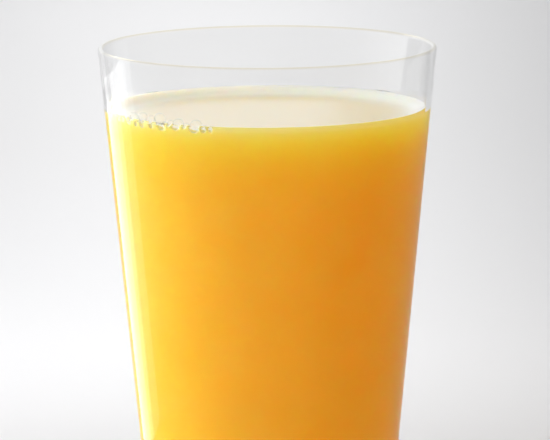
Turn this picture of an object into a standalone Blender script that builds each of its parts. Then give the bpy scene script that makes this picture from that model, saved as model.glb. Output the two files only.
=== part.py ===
"""A tapered drinking glass of orange juice, with a few bubbles against the wall.

Units are metres and +Z is up. The origin is the middle of the foot, on the
surface that the glass stands on. The bubbles gather at the front left: the
front faces -Y and the left is -X.
"""

import math

import bpy

# The glass: a plain tumbler whose straight wall narrows towards the foot
GLASS_HEIGHT = 0.1490
RIM_RADIUS = 0.0440
WALL_TAPER = 0.1002
RIM_WALL = 0.0014
FLOOR_WALL = 0.0024
BASE_THICKNESS = 0.0090
FOOT_ROUND = 0.0026
FLOOR_ROUND = 0.0065

# The juice: flat in the middle, climbing to the wall in a meniscus
JUICE_LEVEL = 0.1313
MENISCUS_RISE = 0.0020
MENISCUS_SPREAD = 0.0017
MENISCUS_WIDTH = 0.0080
JUICE_GAP = 0.0003

# The bubbles, in the order that they follow each other along the wall: the turn
# from the front towards the left in degrees, the height of the centre above
# the flat surface, and the radius
BUBBLES = (
    (66.5, 0.0014, 0.0007),
    (63.5, 0.0016, 0.0010),
    (59.2, 0.0018, 0.0015),
    (54.8, 0.0010, 0.0008),
    (52.9, 0.0026, 0.0013),
    (51.3, 0.0011, 0.0010),
    (47.6, 0.0024, 0.0011),
    (46.4, 0.0011, 0.0008),
    (43.4, 0.0028, 0.0016),
    (41.2, 0.0012, 0.0012),
    (38.0, 0.0020, 0.0009),
    (34.8, 0.0019, 0.0015),
    (31.2, 0.0017, 0.0008),
    (27.2, 0.0017, 0.0017),
    (23.5, 0.0012, 0.0009),
    (20.9, 0.0013, 0.0008),
)
BUBBLE_INSET = 0.0001
LARGE_BUBBLE = 0.0012

# How finely round stretches are divided
TURN_STEPS = 88
LIP_STEPS = 8
FOOT_STEPS = 4
FLOOR_STEPS = 6
MENISCUS_STEPS = 8
MERGE_DISTANCE = 0.00001
SHARP_ANGLE = math.radians(38)

# The wall thins evenly from the floor to the rim, so the inside is a cone too
INNER_TAPER = WALL_TAPER + (FLOOR_WALL - RIM_WALL) / (GLASS_HEIGHT - BASE_THICKNESS)
OUTER_LEAN = math.atan(WALL_TAPER)
INNER_LEAN = math.atan(INNER_TAPER)


def outer_radius(height):
    """Radius of the outside of the wall at a height."""
    return RIM_RADIUS - WALL_TAPER * (GLASS_HEIGHT - height)


def inner_radius(height):
    """Radius of the inside of the wall at a height."""
    return RIM_RADIUS - RIM_WALL - INNER_TAPER * (GLASS_HEIGHT - height)


def juice_radius(height):
    """Radius of the juice at a height, a hair inside the wall."""
    return inner_radius(height) - JUICE_GAP / math.cos(INNER_LEAN)


def meniscus_height(from_wall):
    """Height of the juice's surface at a distance from the wall."""
    return JUICE_LEVEL + MENISCUS_RISE * math.exp(-from_wall / MENISCUS_SPREAD)


def arc(centre, radius, start, end, steps):
    """Points along an arc in the profile's plane, between two angles."""
    points = []
    for step in range(steps + 1):
        angle = start + (end - start) * step / steps
        across = centre[0] + radius * math.cos(angle)
        up = centre[1] + radius * math.sin(angle)
        points.append((across, up))
    return points


def floor_arc(radius):
    """The round corner between the inside floor and the wall, floor end first."""
    height = BASE_THICKNESS + FLOOR_ROUND
    across = inner_radius(height) - FLOOR_ROUND / math.cos(INNER_LEAN)
    return arc((across, height), radius, -math.pi / 2, -INNER_LEAN, FLOOR_STEPS)


def lip_arc():
    """The rounded lip, from the inner wall over the top to the outer wall."""
    radius = RIM_WALL / 2
    height = GLASS_HEIGHT - radius
    across = outer_radius(height) - radius / math.cos(OUTER_LEAN)
    return arc((across, height), radius, math.pi - INNER_LEAN, -OUTER_LEAN, LIP_STEPS)


def foot_arc():
    """The rounded edge under the wall, from the wall to the flat foot."""
    across = outer_radius(FOOT_ROUND) - FOOT_ROUND / math.cos(OUTER_LEAN)
    return arc((across, FOOT_ROUND), FOOT_ROUND, -OUTER_LEAN, -math.pi / 2, FOOT_STEPS)


def glass_profile():
    """Half section of the glass: up the inside, over the lip and down the outside."""
    middle_of_floor = (0.0, BASE_THICKNESS)
    middle_of_foot = (0.0, 0.0)
    return [middle_of_floor] + floor_arc(FLOOR_ROUND) + lip_arc() + foot_arc() + [middle_of_foot]


def juice_profile():
    """Half section of the juice: out along the surface, down the wall and back."""
    wall_height = JUICE_LEVEL + MENISCUS_RISE
    edge = juice_radius(wall_height)
    surface = [(0.0, JUICE_LEVEL)]
    for step in range(MENISCUS_STEPS + 1):
        # The points crowd towards the wall, where the surface is steepest
        from_wall = MENISCUS_WIDTH * (1 - step / MENISCUS_STEPS) ** 2
        surface.append((edge - from_wall, meniscus_height(from_wall)))
    corner = floor_arc(FLOOR_ROUND - JUICE_GAP)
    corner.reverse()
    return surface + corner + [(0.0, BASE_THICKNESS + JUICE_GAP)]


def new_collection(name):
    """An empty collection in the scene."""
    collection = bpy.data.collections.new(name)
    bpy.context.scene.collection.children.link(collection)
    return collection


def new_material(name, colour, roughness, transmission, ior):
    """A plain Principled material."""
    material = bpy.data.materials.new(name)
    material.use_nodes = True
    shader = material.node_tree.nodes["Principled BSDF"]
    shader.inputs["Base Color"].default_value = (*colour, 1.0)
    shader.inputs["Roughness"].default_value = roughness
    shader.inputs["Metallic"].default_value = 0.0
    shader.inputs["Transmission Weight"].default_value = transmission
    shader.inputs["IOR"].default_value = ior
    return material


def turned(name, profile, material, collection):
    """A profile turned about the Z axis by a Screw modifier."""
    mesh = bpy.data.meshes.new(name)
    vertices = [(across, 0.0, up) for across, up in profile]
    edges = [(index, index + 1) for index in range(len(profile) - 1)]
    mesh.from_pydata(vertices, edges, [])
    mesh.materials.append(material)
    piece = bpy.data.objects.new(name, mesh)
    collection.objects.link(piece)
    screw = piece.modifiers.new("turn", "SCREW")
    screw.axis = "Z"
    screw.angle = math.tau
    screw.steps = TURN_STEPS
    screw.render_steps = TURN_STEPS
    screw.use_merge_vertices = True
    screw.merge_threshold = MERGE_DISTANCE
    screw.use_smooth_shade = True
    return piece


def add_bubble(turn, height, radius, collection):
    """One round bubble, just clear of the wall."""
    centre_height = JUICE_LEVEL + height
    from_axis = juice_radius(centre_height) - (radius + BUBBLE_INSET) / math.cos(INNER_LEAN)
    angle = math.radians(turn)
    place = (-from_axis * math.sin(angle), -from_axis * math.cos(angle), centre_height)
    rounds = 3 if radius >= LARGE_BUBBLE else 2
    bpy.ops.mesh.primitive_ico_sphere_add(subdivisions=rounds, radius=radius, location=place)
    bubble = bpy.context.object
    for home in list(bubble.users_collection):
        home.objects.unlink(bubble)
    collection.objects.link(bubble)


def fuse(piece, collection):
    """Join a collection's objects to a piece in one body, then remove them."""
    union = piece.modifiers.new("fuse", "BOOLEAN")
    union.operation = "UNION"
    union.operand_type = "COLLECTION"
    union.collection = collection
    union.solver = "EXACT"
    depsgraph = bpy.context.evaluated_depsgraph_get()
    fused = bpy.data.meshes.new_from_object(piece.evaluated_get(depsgraph))
    profile_mesh = piece.data
    piece.modifiers.clear()
    piece.data = fused
    bpy.data.meshes.remove(profile_mesh)
    fused.name = piece.name
    fused.shade_smooth()
    fused.set_sharp_from_angle(angle=SHARP_ANGLE)
    for item in list(collection.objects):
        bpy.data.objects.remove(item)
    bpy.data.collections.remove(collection)


def make_glass(collection):
    """The tumbler: wall, rounded lip, thick base and flat foot in one piece."""
    clear = new_material("clear_glass", (0.96, 0.98, 0.97), 0.02, 1.0, 1.5)
    return turned("glass", glass_profile(), clear, collection)


def make_juice(collection):
    """The juice up to its level, with the bubbles along the front left of the wall."""
    orange = new_material("orange_juice", (0.86, 0.43, 0.03), 0.28, 0.0, 1.35)
    juice = turned("juice", juice_profile(), orange, collection)
    bubbles = new_collection("bubbles")
    for turn, height, radius in BUBBLES:
        add_bubble(turn, height, radius, bubbles)
    fuse(juice, bubbles)
    return juice


def main():
    for item in list(bpy.data.objects):
        bpy.data.objects.remove(item)
    drink = new_collection("glass_of_orange_juice")
    make_glass(drink)
    make_juice(drink)


main()
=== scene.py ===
"""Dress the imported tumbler: clear glass, cloudy orange juice and the bubbles at its wall.

Units are metres and +Z is up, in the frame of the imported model. The front faces -Y.
Run it as a script in Blender; the panel in the 3D view's sidebar makes the pieces again.
"""

import math

import bpy
import numpy as np
from bpy.props import FloatProperty, FloatVectorProperty, IntProperty, PointerProperty
from mathutils import Euler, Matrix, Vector


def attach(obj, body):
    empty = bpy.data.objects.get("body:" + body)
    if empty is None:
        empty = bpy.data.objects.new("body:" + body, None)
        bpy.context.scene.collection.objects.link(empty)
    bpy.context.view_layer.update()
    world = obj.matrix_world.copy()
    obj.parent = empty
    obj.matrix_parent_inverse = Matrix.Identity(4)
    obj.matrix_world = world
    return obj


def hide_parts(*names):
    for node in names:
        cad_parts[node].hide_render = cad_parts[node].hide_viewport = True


bl_info = {
    "name": "Glass of orange juice",
    "version": (1, 0, 0),
    "blender": (4, 5, 0),
    "location": "3D View > Sidebar > Drink",
    "description": "Clear tapered tumbler, cloudy orange juice, bubbles and a plain studio",
    "category": "Object",
}

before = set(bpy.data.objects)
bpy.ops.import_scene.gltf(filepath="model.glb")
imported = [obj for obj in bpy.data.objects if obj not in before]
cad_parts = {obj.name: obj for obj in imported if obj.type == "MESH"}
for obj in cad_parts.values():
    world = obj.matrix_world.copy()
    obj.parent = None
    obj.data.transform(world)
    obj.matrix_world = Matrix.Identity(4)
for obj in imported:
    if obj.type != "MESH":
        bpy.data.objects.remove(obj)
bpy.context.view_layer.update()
BODY = "root"

# The tumbler's sizes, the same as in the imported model
GLASS_HEIGHT = 0.1490
RIM_RADIUS = 0.0440
WALL_TAPER = 0.1002
RIM_WALL = 0.0014
FLOOR_WALL = 0.0024
BASE_THICKNESS = 0.0090
FOOT_ROUND = 0.0026
FLOOR_ROUND = 0.0065
INNER_TAPER = WALL_TAPER + (FLOOR_WALL - RIM_WALL) / (GLASS_HEIGHT - BASE_THICKNESS)
OUTER_LEAN = math.atan(WALL_TAPER)
INNER_LEAN = math.atan(INNER_TAPER)

# The juice's flat surface and its meniscus
JUICE_LEVEL = 0.1313
MENISCUS_RISE = 0.0020
MENISCUS_SPREAD = 0.0017
MENISCUS_WIDTH = 0.0080
CONTACT_HEIGHT = JUICE_LEVEL + MENISCUS_RISE

# How finely the sections and balls are divided, and how much the points on the meniscus
# crowd towards the wall
CORNER_STEPS = 16
FOOT_STEPS = 10
FLAT_STEPS = 10
GLASS_WALL_STEPS = 30
JUICE_WALL_STEPS = 60
SURFACE_POINTS = 24
MENISCUS_POINTS = 40
CROWDING = 1.6
HOLLOW_DIVISIONS = (32, 16)
SKIN_DIVISIONS = (36, 18)

# The juice's materials by number: the wall's is 0, and a face belongs to the open surface
# where its normal rises more than the slope
TOP_SLOPE = 0.2
HOLLOW_PART = 2

# Refraction, and how far red, green and blue light go in the juice: as shares of the reach
# in the body and in thin forms, and as the reach of the edge, surface and hollows
GLASS_IOR = 1.5
DRINK_IOR = 1.34
BODY_SHARES = (1.0, 0.33, 0.08)
THIN_SHARES = (1.0, 0.8, 0.5)
THIN_REACH = 0.0015
HOLLOW_REACH = 0.001
# Colours of the hollows' lining, painted paler and brighter than the juice: painted light shining into
# the hollows
HOLLOW_LIT_GOLD = (0.99, 0.78, 0.16)
HOLLOW_LIT_PALE = (0.99, 0.85, 0.32)
# Share of painted reflection, a faint white, over the whole of a bubble's film
FILM_SHINE_HAZE = 0.06

# The glass: the share that only refracts, the heights over which it turns clear at the
# contact line and below it where light leaves at a slant, and the straw tint at the lip
REFRACTING_SHARE = 0.35
CONTACT_FADE = 0.0004
BACK_DEPTH = 0.0080
BACK_FADE = 0.0010
SLANT_START = 0.25
SLANT_FADE = 0.1
LIP_DEPTH = 0.0006
LIP_FADE = 0.0003

# The bubbles along the wall: turn from the front towards the left in degrees, height of
# the centre above the flat surface, and radius. The centres lie half a radius from the
# wall, and the skins stay a hair inside the hollows.
BUBBLE_SEAT = 0.5
SKIN_GAP = 0.00001
BUBBLES = (
    (66.5, 0.0014, 0.0007),
    (63.5, 0.0016, 0.0010),
    (59.2, 0.0018, 0.0015),
    (54.8, 0.0010, 0.0008),
    (52.9, 0.0026, 0.0013),
    (51.3, 0.0011, 0.0010),
    (47.6, 0.0024, 0.0011),
    (46.4, 0.0011, 0.0008),
    (43.4, 0.0028, 0.0016),
    (41.2, 0.0012, 0.0012),
    (38.0, 0.0020, 0.0009),
    (34.8, 0.0019, 0.0015),
    (31.2, 0.0017, 0.0008),
    (27.2, 0.0017, 0.0017),
    (23.5, 0.0012, 0.0009),
    (20.9, 0.0013, 0.0008),
)

# The soft lamps: name, place, target, size, watts, spread in degrees, colour and whether
# they only show in the gloss
WHITE = (1.0, 1.0, 1.0)
COOL = (0.87, 1.0, 1.28)
FRESH = (0.92, 1.03, 1.15)
WARM = (1.0, 0.58, 0.08)
LAMPS = (
    ("over the floor", (-0.03, 0.85, 0.55), (-0.03, 0.85, 0.0), (0.22, 1.2), 0.80, 45.0, WHITE, False),
    ("over the drink", (0.0, 0.05, 0.70), (0.0, 0.0, 0.13), (0.25, 0.25), 0.07, 40.0, WHITE, False),
    ("behind", (-0.59, 0.90, 0.53), (-0.59, 0.0, 0.53), (1.23, 0.82), 1.24, 180.0, COOL, True),
    ("front left", (-0.77, -0.64, 0.30), (0.0, 0.0, 0.08), (0.5, 0.4), 0.90, 70.0, WHITE, False),
    ("front right", (0.86, -0.50, 0.25), (0.0, 0.0, 0.08), (0.5, 0.4), 0.62, 70.0, WARM, False),
    ("low left", (-0.40, 0.26, 0.16), (-0.40, 0.26, 0.0), (0.25, 0.4), 0.9, 150.0, WHITE, False),
    ("left", (-0.85, 0.30, 0.07), (0.0, 0.0, 0.07), (0.6, 0.12), 0.90, 70.0, FRESH, False),
)

# Strips of light that shape the reflection at the left edge: two turns from the front
# towards the left in degrees, two heights and the radiance, all at one distance
STRIP_DISTANCE = 0.20
STRIPS = (
    (106.0, 146.0, 0.000, 0.108, 1.1),
    (118.0, 146.0, 0.000, 0.101, 1.4),
    (125.0, 146.0, 0.000, 0.098, 1.1),
    (134.0, 146.0, 0.000, 0.104, 0.3),
    (125.0, 156.0, 0.108, 0.135, 0.45),
)

# The room's soft bands of light: the turn of the middle from the front towards the left,
# and the spreads along the horizon and upwards, in degrees
WALL_GLOW = (174.0, 28.0, 42.0)
WINDOW_GLOW = (115.0, 31.0, 22.0)
FLOOR_HALF = 8.0

# The photograph's frame: the glass's axis, rim and scale in its pixels
PHOTO_WIDTH = 550
PHOTO_HEIGHT = 440
PIXELS_PER_METRE = 3845.0
AXIS_AT_MIDDLE = 268.4
RIM_CENTRE_DOWN = 46.5
SENSOR = 0.036
MILLIMETRES = 1000


def outer_radius(height):
    """Radius of the outside of the wall at a height."""
    return RIM_RADIUS - WALL_TAPER * (GLASS_HEIGHT - height)


def inner_radius(height):
    """Radius of the inside of the wall at a height."""
    return RIM_RADIUS - RIM_WALL - INNER_TAPER * (GLASS_HEIGHT - height)


class Value:
    """A socket that carries numbers. Arithmetic on it adds Math nodes to its tree."""

    def __init__(self, tree, socket):
        self.tree = tree
        self.socket = socket

    def math(self, operation, *values):
        """A Math node on the given values."""
        node = self.tree.nodes.new("ShaderNodeMath")
        node.operation = operation
        for socket, value in zip(node.inputs, values):
            plug(self.tree, socket, value)
        return Value(self.tree, node.outputs["Value"])

    def __add__(self, other):
        return self.math("ADD", self, other)

    def __radd__(self, other):
        return self.math("ADD", other, self)

    def __sub__(self, other):
        return self.math("SUBTRACT", self, other)

    def __rsub__(self, other):
        return self.math("SUBTRACT", other, self)

    def __mul__(self, other):
        return self.math("MULTIPLY", self, other)

    def __rmul__(self, other):
        return self.math("MULTIPLY", other, self)

    def __pow__(self, other):
        return self.math("POWER", self, other)

    def exponent(self):
        """The base of natural logarithms raised to the value."""
        return self.math("EXPONENT", self)

    def clamped(self):
        """The value held between 0 and 1."""
        return self.math("MINIMUM", self.math("MAXIMUM", self, 0.0), 1.0)

    def fade_in(self, start, width):
        """0 up to a start, then evenly up to 1 over a width."""
        return ((self - start) * (1.0 / width)).clamped()


def plug(tree, socket, value):
    """Link a socket to a wrapped or bare output, or set its constant."""
    if isinstance(value, Value):
        tree.links.new(value.socket, socket)
    elif isinstance(value, bpy.types.NodeSocket):
        tree.links.new(value, socket)
    else:
        socket.default_value = value


class Tree:
    """A node tree with one method that adds any node."""

    def __init__(self, owner):
        owner.use_nodes = True
        self.tree = owner.node_tree
        self.tree.nodes.clear()

    def add(self, kind, settings=None, **sockets):
        """A node of a type, its settings made first, then its sockets filled or linked.

        A socket is named by its identifier with spaces as underscores.
        """
        node = self.tree.nodes.new(kind)
        for name, value in (settings or {}).items():
            setattr(node, name, value)
        for name, value in sockets.items():
            plug(self.tree, self.find(node.inputs, name), value)
        return node

    @staticmethod
    def find(sockets, name):
        """The socket whose identifier or name is the given words."""
        for socket in sockets:
            if name in (socket.identifier.replace(" ", "_"), socket.name.replace(" ", "_")):
                return socket
        raise KeyError(name)

    def value(self, node, output=0):
        """An output wrapped so that arithmetic works on it."""
        return Value(self.tree, node.outputs[output])

    def noise(self, place, scale, detail=2.0, roughness=0.5):
        """Noise in Object coordinates, from 0 to 1."""
        node = self.add(
            "ShaderNodeTexNoise", Vector=place, Scale=scale, Detail=detail, Roughness=roughness
        )
        return self.value(node)

    def mix_colours(self, amount, first, second):
        """A colour between two, by an amount from 0 to 1."""
        node = self.add(
            "ShaderNodeMix",
            {"data_type": "RGBA"},
            Factor_Float=amount,
            A_Color=first,
            B_Color=second,
        )
        return self.find(node.outputs, "Result_Color")

    def blend(self, amount, first, second):
        """A Mix Shader between two shader nodes, by an amount from 0 to 1."""
        node = self.add("ShaderNodeMixShader", Fac=amount)
        self.tree.links.new(first.outputs[0], node.inputs[1])
        self.tree.links.new(second.outputs[0], node.inputs[2])
        return node


def rgba(colour):
    """A colour of three numbers with full alpha."""
    return (*colour[:3], 1.0)


def arc(centre, radius, start, end, steps):
    """Points (across, up) on a circle about a centre, evenly from one angle to another."""
    angles = np.linspace(start, end, steps + 1)
    across = centre[0] + radius * np.cos(angles)
    up = centre[1] + radius * np.sin(angles)
    return np.column_stack([across, up])


def between(first, last, steps):
    """Points strictly between two, closer together near both ends (half a cosine wave)."""
    share = 0.5 - 0.5 * np.cos(np.linspace(0, math.pi, steps + 1)[1:-1])
    return first + (last - first) * share[:, None]


def turned_surface(section, sectors):
    """A half section turned about Z: vertex (i, j) is section point i at angle 2 pi j / sectors.

    The section starts and ends on the axis, where one vertex closes each pole, and its
    outer side runs down, so the faces point outwards.
    """
    rings = section[1:-1]
    count = len(rings)
    angles = np.arange(sectors) * (math.tau / sectors)
    across = rings[:, 0][:, None]
    grid = np.empty((count, sectors, 3))
    grid[..., 0] = across * np.cos(angles)
    grid[..., 1] = across * np.sin(angles)
    grid[..., 2] = rings[:, 1][:, None]
    poles = np.array([[0.0, 0.0, section[0, 1]], [0.0, 0.0, section[-1, 1]]])
    vertices = np.vstack([grid.reshape(-1, 3), poles])
    here = np.arange(sectors)
    after = (here + 1) % sectors
    row = np.arange(count - 1)[:, None] * sectors
    quads = np.stack([row + here, row + sectors + here, row + sectors + after, row + after], -1)
    first_pole = count * sectors
    top = np.stack([np.full(sectors, first_pole), here, after], -1)
    last_row = (count - 1) * sectors
    bottom = np.stack([np.full(sectors, first_pole + 1), last_row + after, last_row + here], -1)
    return vertices, quads.reshape(-1, 4).tolist() + top.tolist() + bottom.tolist()


def new_piece(name, vertices, faces):
    """A smooth mesh object at the origin, with its place in its mesh."""
    old = bpy.data.objects.get(name)
    if old is not None:
        bpy.data.objects.remove(old)
    mesh = bpy.data.meshes.new(name)
    mesh.from_pydata(vertices.tolist(), [], faces)
    mesh.shade_smooth()
    mesh.validate()
    piece = bpy.data.objects.new(name, mesh)
    bpy.context.scene.collection.objects.link(piece)
    return piece


class GlassSettings(bpy.types.PropertyGroup):
    """Sizes and colours of the tumbler."""

    sectors: IntProperty(
        name="Sectors", description="Divisions round the glass", default=288, min=48, max=512
    )
    lip_steps: IntProperty(
        name="Lip steps", description="Divisions over the rounded lip", default=20, min=6, max=48
    )
    tint: FloatVectorProperty(
        name="Tint",
        description="Colour of light that has crossed the glass",
        subtype="COLOR",
        size=3,
        min=0.0,
        max=1.0,
        default=(0.985, 0.99, 0.978),
    )
    clearness: FloatProperty(
        name="Clearness",
        description="Share of the light that goes straight through the wall above the juice",
        default=1.0,
        min=0.0,
        max=1.0,
        subtype="FACTOR",
    )


class JuiceSettings(bpy.types.PropertyGroup):
    """Sizes and colours of the drink."""

    wall_overlap: FloatProperty(
        name="Wall overlap",
        description="How far the juice reaches into the glass, so that no air shows",
        default=0.00012,
        subtype="DISTANCE",
        unit="LENGTH",
    )
    body_colour: FloatVectorProperty(
        name="Juice",
        description="Colour of the cloudy juice",
        subtype="COLOR",
        size=3,
        min=0.0,
        max=1.0,
        default=(0.990, 0.525, 0.042),
    )
    pulp_colour: FloatVectorProperty(
        name="Pulp",
        description="Colour of the paler cloud and fine pulp",
        subtype="COLOR",
        size=3,
        min=0.0,
        max=1.0,
        default=(0.992, 0.575, 0.066),
    )
    # Painted light: a paler colour at the thin edge, standing in for light that shines through the
    # thin juice there
    edge_light_colour: FloatVectorProperty(
        name="Edge",
        description="Colour of the thin edge against the glass",
        subtype="COLOR",
        size=3,
        min=0.0,
        max=1.0,
        default=(0.990, 0.73, 0.26),
    )
    edge_depth: FloatProperty(
        name="Edge depth",
        description="Depth over which the thin edge turns into the body's colour",
        default=0.0017,
        subtype="DISTANCE",
        unit="LENGTH",
    )
    # Painted light: near white where the thin meniscus climbs the glass, standing in for light shining
    # through it
    rim_light_colour: FloatVectorProperty(
        name="Creamy rim",
        description="Colour of the open surface where it climbs the glass",
        subtype="COLOR",
        size=3,
        min=0.0,
        max=1.0,
        default=(0.98, 0.945, 0.83),
    )
    rim_width: FloatProperty(
        name="Rim width",
        description="Distance from the wall over which the creamy rim fades",
        default=0.0065,
        subtype="DISTANCE",
        unit="LENGTH",
    )
    # Painted light: paler than the body's colour, standing in for the pale look that light gives the
    # open surface
    top_light_colour: FloatVectorProperty(
        name="Top",
        description="Colour of the open surface under its wet gloss",
        subtype="COLOR",
        size=3,
        min=0.0,
        max=1.0,
        default=(0.97, 0.74, 0.38),
    )
    light_reach: FloatProperty(
        name="Light reach",
        description="How far red light travels inside the juice",
        default=0.120,
        subtype="DISTANCE",
        unit="LENGTH",
    )


class BubbleSettings(bpy.types.PropertyGroup):
    """Look of the bubbles."""

    # Painted reflection: how much white is mixed into a bubble's film at its outline
    painted_shine: FloatProperty(
        name="Whiteness",
        description="How white a bubble's film is at its outline",
        default=0.70,
        min=0.0,
        max=0.9,
        subtype="FACTOR",
    )


class StudioSettings(bpy.types.PropertyGroup):
    """Camera and light."""

    elevation: FloatProperty(
        name="Camera elevation",
        description="Angle of the camera above the horizon",
        default=math.radians(8.4),
        subtype="ANGLE",
        unit="ROTATION",
    )
    roll: FloatProperty(
        name="Camera roll",
        description="Turn of the camera about its own axis",
        default=math.radians(-0.37),
        subtype="ANGLE",
        unit="ROTATION",
    )
    distance: FloatProperty(
        name="Camera distance",
        description="From the camera to the glass's axis",
        default=2.5,
        subtype="DISTANCE",
        unit="LENGTH",
    )
    room_light: FloatProperty(
        name="Room light", description="Radiance of the room in front and on the right", default=0.16
    )
    ceiling_light: FloatProperty(
        name="Ceiling light", description="Radiance added straight above", default=0.35
    )
    wall_light: FloatProperty(
        name="Wall light", description="Radiance added by the bright wall behind", default=0.42
    )
    window_light: FloatProperty(
        name="Window light", description="Radiance added by the window on the left", default=1.7
    )
    floor_colour: FloatVectorProperty(
        name="Floor",
        description="Colour of the plain floor",
        subtype="COLOR",
        size=3,
        min=0.0,
        max=1.0,
        default=(0.74, 0.74, 0.75),
    )


def floor_corner_centre():
    """Middle of the round corner between the inside floor and the wall."""
    height = BASE_THICKNESS + FLOOR_ROUND
    return inner_radius(height) - FLOOR_ROUND / math.cos(INNER_LEAN), height


def glass_section(lip_steps):
    """Half section of the tumbler: floor, inside wall, lip, outside wall and foot.

    The round corners are arcs that touch both of the faces they join.
    """
    floor_centre = floor_corner_centre()
    lip_radius = RIM_WALL / 2
    lip_height = GLASS_HEIGHT - lip_radius
    lip_centre = (outer_radius(lip_height) - lip_radius / math.cos(OUTER_LEAN), lip_height)
    foot_centre = (outer_radius(FOOT_ROUND) - FOOT_ROUND / math.cos(OUTER_LEAN), FOOT_ROUND)
    floor_corner = arc(floor_centre, FLOOR_ROUND, -math.pi / 2, -INNER_LEAN, CORNER_STEPS)
    lip = arc(lip_centre, lip_radius, math.pi - INNER_LEAN, -OUTER_LEAN, lip_steps)
    foot_corner = arc(foot_centre, FOOT_ROUND, -OUTER_LEAN, -math.pi / 2, FOOT_STEPS)
    floor_middle = np.array([[0.0, BASE_THICKNESS]])
    foot_middle = np.array([[0.0, 0.0]])
    return np.vstack([
        floor_middle,
        between(floor_middle[0], floor_corner[0], FLAT_STEPS),
        floor_corner,
        between(floor_corner[-1], lip[0], GLASS_WALL_STEPS),
        lip,
        between(lip[-1], foot_corner[0], GLASS_WALL_STEPS),
        foot_corner,
        between(foot_corner[-1], foot_middle[0], FLAT_STEPS),
        foot_middle,
    ])


def glass_material(tint, clearness):
    """Clear glass with the faint waviness of a pressed tumbler; lamps shine through it.

    Against the juice a share of the wall only refracts, which softens its reflection. Above
    the juice most light goes straight through, as through a thin wall, with a gloss of
    0.04 + 0.5 (facing ^ 5), where facing is Layer Weight's 0 to 1 from face on to edge on,
    and with a pale straw tint at the very lip, where a real one passes light up from the
    drink. Just under the contact line, light that leaves at a slant goes straight too.
    """
    material = bpy.data.materials.new("clear tumbler glass")
    tree = Tree(material)
    place = tree.find(tree.add("ShaderNodeTexCoord").outputs, "Object")
    waves = tree.noise(place, 55.0, 1.0)
    bump = tree.add("ShaderNodeBump", Strength=0.02, Distance=0.001, Height=waves)
    smear = tree.noise(place, 120.0, 3.0)
    thick = tree.add(
        "ShaderNodeBsdfPrincipled",
        Base_Color=rgba(tint),
        Roughness=(smear - 0.5) * 0.02 + 0.005,
        Transmission_Weight=1.0,
        IOR=GLASS_IOR,
        Specular_Tint=rgba((0.3, 0.3, 0.3)),
        Normal=bump.outputs["Normal"],
    )
    soft = tree.add("ShaderNodeBsdfRefraction", Color=rgba(tint), Roughness=0.005, IOR=GLASS_IOR)
    wall = tree.blend(REFRACTING_SHARE, thick, soft)
    height = tree.value(tree.add("ShaderNodeSeparateXYZ", Vector=place), "Z")
    above_juice = height.fade_in(CONTACT_HEIGHT - CONTACT_FADE, CONTACT_FADE)
    at_lip = height.fade_in(GLASS_HEIGHT - LIP_DEPTH, LIP_FADE)
    facing = tree.value(tree.add("ShaderNodeLayerWeight", Blend=0.5), "Facing")
    leaving = tree.value(tree.add("ShaderNodeNewGeometry"), "Backfacing")
    near_juice = height.fade_in(CONTACT_HEIGHT - BACK_DEPTH, BACK_FADE)
    slanting = facing.fade_in(SLANT_START, SLANT_FADE)
    open_wall = above_juice.math("MAXIMUM", above_juice, leaving * near_juice * slanting)
    plain = tree.add("ShaderNodeBsdfTransparent", Color=rgba((0.992, 0.992, 0.990)))
    straw = tree.add("ShaderNodeBsdfTransparent", Color=rgba((0.965, 0.945, 0.875)))
    gloss = tree.add("ShaderNodeBsdfAnisotropic", Color=rgba(WHITE), Roughness=0.03)
    through = tree.blend(at_lip, plain, straw)
    thin = tree.blend((facing ** 5.0) * 0.50 + 0.04, through, gloss)
    body = tree.blend(open_wall * clearness, wall, thin)
    clear = tree.add("ShaderNodeBsdfTransparent", Color=rgba((0.94, 0.95, 0.94)))
    ray = tree.add("ShaderNodeLightPath")
    mix = tree.blend(ray.outputs["Is Shadow Ray"], body, clear)
    tree.add("ShaderNodeOutputMaterial", Surface=mix.outputs["Shader"])
    return material


class DRINK_OT_glass(bpy.types.Operator):
    """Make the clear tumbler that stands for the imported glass"""

    bl_idname = "drink.make_glass"
    bl_label = "Make the glass"

    def execute(self, context):
        settings = context.scene.drink_glass
        section = glass_section(settings.lip_steps)
        vertices, faces = turned_surface(section, settings.sectors)
        tumbler = new_piece("tumbler", vertices, faces)
        tumbler.data.materials.append(glass_material(settings.tint, settings.clearness))
        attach(tumbler, BODY)
        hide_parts("glass")
        return {"FINISHED"}


def juice_section(overlap):
    """Half section of the juice: the surface climbs to the wall, then the wall runs down.

    The surface's height is the flat level plus the meniscus's rise times the exponential
    of minus the distance from the wall over its spread.
    """
    wall = inner_radius(CONTACT_HEIGHT)
    middle = np.array([[0.0, JUICE_LEVEL]])
    flat = np.linspace(0.0, wall - MENISCUS_WIDTH, SURFACE_POINTS)[1:-1]
    flat_part = np.column_stack([flat, np.full(len(flat), JUICE_LEVEL)])
    from_wall = MENISCUS_WIDTH * np.linspace(1.0, 0.0, MENISCUS_POINTS) ** CROWDING
    from_wall = np.append(from_wall, -overlap)
    rise = MENISCUS_RISE * np.exp(-np.maximum(from_wall, 0.0) / MENISCUS_SPREAD)
    meniscus = np.column_stack([wall - from_wall, JUICE_LEVEL + rise])
    radius = FLOOR_ROUND + overlap
    corner = arc(floor_corner_centre(), radius, -INNER_LEAN, -math.pi / 2, CORNER_STEPS)
    bottom = np.array([[0.0, BASE_THICKNESS - overlap]])
    return np.vstack([
        middle,
        flat_part,
        meniscus,
        between(meniscus[-1], corner[0], JUICE_WALL_STEPS),
        corner,
        between(corner[-1], bottom[0], FLAT_STEPS),
        bottom,
    ])


def soft_cloud(tree, place):
    """The soft cloud in the juice, from 0 to 1."""
    return tree.noise(place, 90.0, 3.0, 0.55)


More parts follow.
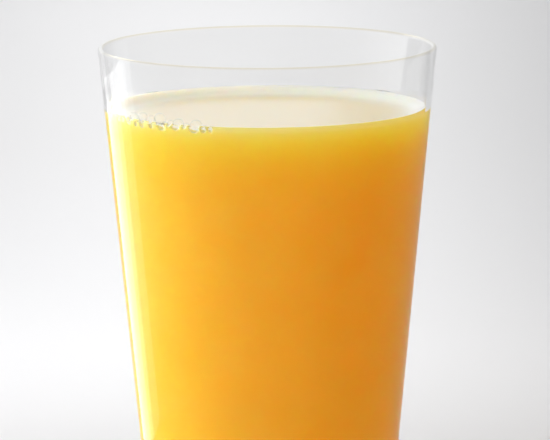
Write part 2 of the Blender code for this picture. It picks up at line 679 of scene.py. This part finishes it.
def pulpy_colour(tree, place, cloud, settings):
    """The juice's colour, paler where its cloud and its fine pulp are dense."""
    pulp = tree.noise(place, 900.0, 2.0, 0.5)
    amount = ((cloud - 0.5) * 1.6 + (pulp - 0.5) * 0.5 + 0.35).clamped()
    return tree.mix_colours(amount, rgba(settings.body_colour), rgba(settings.pulp_colour))


def edge_light_share(tree, place, depth):
    """How much a point belongs to the thin edge, with its short reach and its colour painted paler as
    painted light: 1 at the contact line, then it fades.

    It is 1.3 times the exponential of minus the depth under the contact line over a set
    depth, held at 1.
    """
    height = tree.value(tree.add("ShaderNodeSeparateXYZ", Vector=place), "Z")
    above = (height - CONTACT_HEIGHT) * (1.0 / depth)
    return (above.exponent() * 1.3).clamped()


def wall_juice_material(settings):
    """Juice against the glass: light travels far in its body, red the furthest.

    In the thin edge under the contact line it travels a millimetre or two only, and there its colour
    is painted paler: painted light, standing in for light that shines through the thin juice.
    """
    material = bpy.data.materials.new("juice against the glass")
    tree = Tree(material)
    place = tree.find(tree.add("ShaderNodeTexCoord").outputs, "Object")
    cloud = soft_cloud(tree, place)
    colour = pulpy_colour(tree, place, cloud, settings)
    bump = tree.add("ShaderNodeBump", Strength=0.05, Distance=0.0004, Height=cloud)
    body = tree.add(
        "ShaderNodeBsdfPrincipled",
        Base_Color=colour,
        Roughness=(cloud - 0.5) * 0.04 + 0.5,
        IOR=DRINK_IOR,
        Specular_IOR_Level=0.0,
        Subsurface_Weight=1.0,
        Subsurface_Radius=BODY_SHARES,
        Subsurface_Scale=settings.light_reach,
        Normal=bump.outputs["Normal"],
    )
    # The thin edge: a short reach, and a paler colour that is painted light shining through the thin
    # juice
    edge = tree.add(
        "ShaderNodeBsdfPrincipled",
        Base_Color=rgba(settings.edge_light_colour),
        Roughness=0.5,
        IOR=DRINK_IOR,
        Specular_IOR_Level=0.0,
        Subsurface_Weight=1.0,
        Subsurface_Radius=THIN_SHARES,
        Subsurface_Scale=THIN_REACH,
    )
    mix = tree.blend(edge_light_share(tree, place, settings.edge_depth), body, edge)
    tree.add("ShaderNodeOutputMaterial", Surface=mix.outputs["Shader"])
    return material


def top_juice_material(settings):
    """The open surface: cloudy juice under a wet gloss, its colour painted paler than the body's, and
    paler still towards the wall: painted light on the surface and through the thin meniscus.

    The pale share is the exponential of minus the square of the distance from the wall
    over a set width.
    """
    material = bpy.data.materials.new("juice surface")
    tree = Tree(material)
    place = tree.find(tree.add("ShaderNodeTexCoord").outputs, "Object")
    cloud = soft_cloud(tree, place)
    parts = tree.add("ShaderNodeSeparateXYZ", Vector=place)
    x, y = (tree.value(parts, axis) for axis in "XY")
    from_axis = (x * x + y * y) ** 0.5
    from_wall = (inner_radius(CONTACT_HEIGHT) - from_axis) * (1.0 / settings.rim_width)
    # Painted light: the share of the near white towards the wall, where the meniscus is thin
    edge = (from_wall * from_wall * -1.0).exponent()
    colour = tree.mix_colours(edge, rgba(settings.top_light_colour), rgba(settings.rim_light_colour))
    surface = tree.add(
        "ShaderNodeBsdfPrincipled",
        Base_Color=colour,
        Roughness=(cloud - 0.5) * 0.04 + 0.16,
        IOR=DRINK_IOR,
        Subsurface_Weight=1.0,
        Subsurface_Radius=THIN_SHARES,
        Subsurface_Scale=THIN_REACH,
    )
    tree.add("ShaderNodeOutputMaterial", Surface=surface.outputs["BSDF"])
    return material


def hollow_juice_material():
    """The bubbles' hollows: a thin skin of juice, its gold painted paler and brighter than the juice's
    own: painted light, standing in for light that shines into them.
    """
    material = bpy.data.materials.new("juice in the hollows")
    tree = Tree(material)
    place = tree.find(tree.add("ShaderNodeTexCoord").outputs, "Object")
    specks = tree.noise(place, 1200.0, 2.0)
    colour = tree.mix_colours(specks, rgba(HOLLOW_LIT_GOLD), rgba(HOLLOW_LIT_PALE))
    surface = tree.add(
        "ShaderNodeBsdfPrincipled",
        Base_Color=colour,
        Roughness=(specks - 0.5) * 0.1 + 0.25,
        IOR=DRINK_IOR,
        Subsurface_Weight=1.0,
        Subsurface_Radius=THIN_SHARES,
        Subsurface_Scale=HOLLOW_REACH,
    )
    tree.add("ShaderNodeOutputMaterial", Surface=surface.outputs["BSDF"])
    return material


def hollow_out(drink, centres, radii):
    """Cut the bubbles' hollows out of the juice, lined with its third material."""
    cutter = new_piece("hollows", *hollow_mesh(centres, radii))
    for material in drink.data.materials:
        cutter.data.materials.append(material)
    parts = np.full(len(cutter.data.polygons), HOLLOW_PART, np.int32)
    cutter.data.polygons.foreach_set("material_index", parts)
    cut = drink.modifiers.new("hollows", "BOOLEAN")
    cut.operation = "DIFFERENCE"
    cut.solver = "EXACT"
    cut.use_self = True
    cut.object = cutter
    depsgraph = bpy.context.evaluated_depsgraph_get()
    hollowed = bpy.data.meshes.new_from_object(drink.evaluated_get(depsgraph))
    whole = drink.data
    drink.modifiers.clear()
    drink.data = hollowed
    bpy.data.meshes.remove(whole)
    bpy.data.objects.remove(cutter)


class DRINK_OT_juice(bpy.types.Operator):
    """Make the juice that fills the glass up to its level"""

    bl_idname = "drink.make_juice"
    bl_label = "Make the juice"

    def execute(self, context):
        settings = context.scene.drink_juice
        section = juice_section(settings.wall_overlap)
        vertices, faces = turned_surface(section, context.scene.drink_glass.sectors)
        drink = new_piece("orange_drink", vertices, faces)
        drink.data.materials.append(wall_juice_material(settings))
        drink.data.materials.append(top_juice_material(settings))
        drink.data.materials.append(hollow_juice_material())
        normals = np.empty(len(drink.data.polygons) * 3)
        drink.data.polygons.foreach_get("normal", normals)
        upward = normals.reshape(-1, 3)[:, 2] > TOP_SLOPE
        drink.data.polygons.foreach_set("material_index", upward.astype(np.int32))
        hollow_out(drink, *bubble_places())
        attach(drink, BODY)
        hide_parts("juice")
        return {"FINISHED"}


def bubble_places():
    """Centres and radii of the bubbles, each pressed a little against the wall, as arrays."""
    turn, height, radius = np.array(BUBBLES).T
    up = JUICE_LEVEL + height
    from_axis = inner_radius(up) - radius * BUBBLE_SEAT / math.cos(INNER_LEAN)
    angle = np.radians(turn)
    centres = np.column_stack([-from_axis * np.sin(angle), -from_axis * np.cos(angle), up])
    return centres, radius


def ball_grid(around, down):
    """A unit ball: directions at even angles round it and down it, with closed poles."""
    section = arc((0.0, 0.0), 1.0, math.pi / 2, -math.pi / 2, down)
    section[0, 0] = 0.0
    section[-1, 0] = 0.0
    return turned_surface(section, around)


def hollow_mesh(centres, radii):
    """Closed balls that cut the bubbles out of the juice."""
    directions, faces = ball_grid(*HOLLOW_DIVISIONS)
    points = centres[:, None, :] + directions[None, :, :] * radii[:, None, None]
    starts = np.arange(len(radii)) * len(directions)
    all_faces = [[start + index for index in face] for start in starts.tolist() for face in faces]
    return points.reshape(-1, 3), all_faces


def bubble_mesh(centres, radii):
    """Closed thin skins, one ball for each bubble.

    A point that would lie in the glass is drawn back along its radius to the wall. A point
    that would lie in a neighbour is drawn back to the flat face that the two share, which
    lies at (D squared + r squared - s squared) / 2 D from the first of two balls of radius
    r and s whose centres are D apart.
    """
    directions, faces = ball_grid(*SKIN_DIVISIONS)
    skins = []
    all_faces = []
    for number, (centre, radius) in enumerate(zip(centres, radii)):
        points = centre + directions * (radius - SKIN_GAP)
        for other, (far, size) in enumerate(zip(centres, radii)):
            apart = np.linalg.norm(far - centre)
            if other == number or apart >= radius + size:
                continue
            towards = (far - centre) / apart
            flat = (apart ** 2 + radius ** 2 - size ** 2) / (2 * apart) - SKIN_GAP
            beyond = np.maximum((points - centre) @ towards - flat, 0.0)
            points -= beyond[:, None] * towards
        across = np.hypot(points[:, 0], points[:, 1])
        limit = inner_radius(points[:, 2]) - SKIN_GAP
        points[:, :2] *= np.minimum(1.0, limit / across)[:, None]
        start = number * len(points)
        skins.append(points)
        all_faces += [[start + index for index in face] for face in faces]
    return np.vstack(skins), all_faces


def film_material(painted_shine):
    """A wet film around air, so thin that light passes unbent, whitish at its outline with painted
    reflection.

    The white share, which is painted reflection, is a faint haze plus a set share times
    facing ^ 3, where facing is Layer Weight's 0 to 1 from face on to edge on.
    """
    material = bpy.data.materials.new("bubble film")
    tree = Tree(material)
    place = tree.find(tree.add("ShaderNodeTexCoord").outputs, "Object")
    swirl = tree.noise(place, 1500.0, 2.0)
    colour = tree.mix_colours(swirl, rgba((1.0, 1.0, 0.97)), rgba((1.0, 0.98, 0.90)))
    facing = tree.value(tree.add("ShaderNodeLayerWeight", Blend=0.5), "Facing")
    clear = tree.add("ShaderNodeBsdfTransparent", Color=rgba((0.998, 0.998, 0.99)))
    # Painted reflection: a white film part that stands in for the light a real bubble mirrors
    white = tree.add(
        "ShaderNodeBsdfPrincipled",
        Base_Color=colour,
        Roughness=swirl * 0.1 + 0.1,
        IOR=DRINK_IOR,
    )
    mix = tree.blend((facing ** 3.0) * painted_shine + FILM_SHINE_HAZE, clear, white)
    tree.add("ShaderNodeOutputMaterial", Surface=mix.outputs["Shader"])
    return material


class DRINK_OT_bubbles(bpy.types.Operator):
    """Make the bubbles that cling to the wall at the front left"""

    bl_idname = "drink.make_bubbles"
    bl_label = "Make the bubbles"

    def execute(self, context):
        centres, radii = bubble_places()
        vertices, faces = bubble_mesh(centres, radii)
        films = new_piece("bubble_films", vertices, faces)
        painted_shine = context.scene.drink_bubbles.painted_shine
        films.data.materials.append(film_material(painted_shine))
        films.visible_shadow = False
        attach(films, BODY)
        return {"FINISHED"}


def floor_material(colour):
    """Plain pale matt floor with the faintest unevenness."""
    material = bpy.data.materials.new("pale floor")
    tree = Tree(material)
    place = tree.find(tree.add("ShaderNodeTexCoord").outputs, "Object")
    patch = tree.noise(place, 3.0, 2.0)
    darker = tuple(part * 0.985 for part in colour)
    paint = tree.mix_colours(patch, rgba(colour), rgba(darker))
    surface = tree.add("ShaderNodeBsdfPrincipled", Base_Color=paint, Roughness=0.6)
    tree.add("ShaderNodeOutputMaterial", Surface=surface.outputs["BSDF"])
    return material


def glow(tree, place, turn, spread, height):
    """A soft band of light that stands on the horizon: 1 at its middle.

    Its middle lies at a turn from the front towards the left. It falls as one bell curve
    along the horizon and as another upwards, with the given spreads.
    """
    turn = math.radians(turn)
    x, y, z = (tree.value(place, axis) for axis in "XYZ")
    along = x * -math.sin(turn) + y * -math.cos(turn) - 1.0
    up = z * z * -0.5
    exponent = along * (1.0 / math.radians(spread) ** 2) + up * (1.0 / math.radians(height) ** 2)
    return exponent.exponent()


def surroundings(settings):
    """Dim surroundings with a bright wall behind and a large bright window at the left."""
    world = bpy.data.worlds.new("soft room")
    bpy.context.scene.world = world
    tree = Tree(world)
    direction = tree.find(tree.add("ShaderNodeTexCoord").outputs, "Generated")
    place = tree.add("ShaderNodeSeparateXYZ", Vector=direction)
    wall = glow(tree, place, *WALL_GLOW)
    window = glow(tree, place, *WINDOW_GLOW)
    ceiling = tree.value(place, "Z").clamped() * settings.ceiling_light
    strength = wall * settings.wall_light + window * settings.window_light + settings.room_light
    background = tree.add("ShaderNodeBackground", Color=rgba(WHITE), Strength=strength + ceiling)
    tree.add("ShaderNodeOutputWorld", Surface=background.outputs["Background"])


def soft_lamp(name, place, target, size, power, spread, colour, mirrored):
    """A rectangular soft lamp that faces a target, without showing itself to the camera.

    It lights the pieces, or where it is mirrored it is only seen in their gloss.
    """
    data = bpy.data.lights.new(name, "AREA")
    data.shape = "RECTANGLE"
    data.size, data.size_y = size
    data.energy = power
    data.spread = math.radians(spread)
    data.color = colour
    lamp = bpy.data.objects.new(name, data)
    bpy.context.scene.collection.objects.link(lamp)
    lamp.visible_camera = False
    lamp.visible_glossy = mirrored
    lamp.visible_diffuse = not mirrored
    lamp.visible_transmission = False
    lamp.location = place
    away = lamp.location - Vector(target)
    lamp.rotation_mode = "QUATERNION"
    lamp.rotation_quaternion = away.to_track_quat("Z", "Y")


def add_strip(first, last, low, high, radiance):
    """A standing strip of light at the left behind, which only shows in the gloss.

    It spans two turns from the front towards the left, in degrees, and two heights. Its
    power is its radiance times pi times its area.
    """
    turn = math.radians((first + last) / 2)
    width = 2 * STRIP_DISTANCE * math.tan(math.radians(last - first) / 2)
    height = (low + high) / 2
    place = (-math.sin(turn) * STRIP_DISTANCE, -math.cos(turn) * STRIP_DISTANCE, height)
    power = radiance * math.pi * width * (high - low)
    size = (width, high - low)
    soft_lamp("strip light", place, (0.0, 0.0, height), size, power, 180.0, WHITE, True)


class DRINK_OT_stage(bpy.types.Operator):
    """Make the floor, the light and the camera"""

    bl_idname = "drink.make_stage"
    bl_label = "Make the stage"

    def execute(self, context):
        settings = context.scene.drink_studio
        square = np.array([[-1.0, -1.0, 0.0], [1.0, -1.0, 0.0], [1.0, 1.0, 0.0], [-1.0, 1.0, 0.0]])
        floor = new_piece("floor", square * FLOOR_HALF, [[0, 1, 2, 3]])
        floor.data.materials.append(floor_material(settings.floor_colour))
        surroundings(settings)
        for lamp in LAMPS:
            soft_lamp(*lamp)
        for first, last, low, high, radiance in STRIPS:
            add_strip(first, last, low, high, radiance)
        add_camera(settings)
        context.scene.view_settings.view_transform = "Standard"
        return {"FINISHED"}


def add_camera(settings):
    """A long lens aimed so that the glass lies where the photograph has it."""
    data = bpy.data.cameras.new("camera")
    data.sensor_width = SENSOR * MILLIMETRES
    data.lens = MILLIMETRES * SENSOR * settings.distance * PIXELS_PER_METRE / PHOTO_WIDTH
    data.clip_end = 50.0
    camera = bpy.data.objects.new("camera", data)
    bpy.context.scene.collection.objects.link(camera)
    right = (PHOTO_WIDTH / 2 - AXIS_AT_MIDDLE) / PIXELS_PER_METRE
    below_rim = (PHOTO_HEIGHT / 2 - RIM_CENTRE_DOWN) / PIXELS_PER_METRE / math.cos(settings.elevation)
    target = Vector((right, 0.0, GLASS_HEIGHT - below_rim))
    back = Vector((0.0, -math.cos(settings.elevation), math.sin(settings.elevation)))
    camera.location = target + back * settings.distance
    upright = (math.pi / 2 - settings.elevation, 0.0, 0.0)
    turn = Euler((0.0, 0.0, settings.roll)).to_quaternion()
    camera.rotation_mode = "QUATERNION"
    camera.rotation_quaternion = Euler(upright).to_quaternion() @ turn
    bpy.context.scene.camera = camera


class DRINK_PT_panel(bpy.types.Panel):
    """The makers and their settings"""

    bl_idname = "DRINK_PT_panel"
    bl_label = "Glass of orange juice"
    bl_space_type = "VIEW_3D"
    bl_region_type = "UI"
    bl_category = "Drink"

    def draw(self, context):
        for operator, group in MAKERS:
            box = self.layout.box()
            box.operator(operator.bl_idname)
            settings = getattr(context.scene, group)
            for name in settings.bl_rna.properties.keys():
                if name not in ("rna_type", "name"):
                    box.prop(settings, name)


MAKERS = (
    (DRINK_OT_glass, "drink_glass"),
    (DRINK_OT_juice, "drink_juice"),
    (DRINK_OT_bubbles, "drink_bubbles"),
    (DRINK_OT_stage, "drink_studio"),
)
GROUPS = {
    "drink_glass": GlassSettings,
    "drink_juice": JuiceSettings,
    "drink_bubbles": BubbleSettings,
    "drink_studio": StudioSettings,
}
CLASSES = (*GROUPS.values(), *(operator for operator, _ in MAKERS), DRINK_PT_panel)


def register():
    """Register the classes and hang the settings on the scene."""
    for item in CLASSES:
        bpy.utils.register_class(item)
    for name, group in GROUPS.items():
        setattr(bpy.types.Scene, name, PointerProperty(type=group))


def unregister():
    """Take the settings and the classes away again."""
    for name in GROUPS:
        delattr(bpy.types.Scene, name)
    for item in reversed(CLASSES):
        bpy.utils.unregister_class(item)


def main():
    """Make every piece in order."""
    register()
    bpy.ops.drink.make_glass()
    bpy.ops.drink.make_juice()
    bpy.ops.drink.make_bubbles()
    bpy.ops.drink.make_stage()


if __name__ == "__main__":
    main()
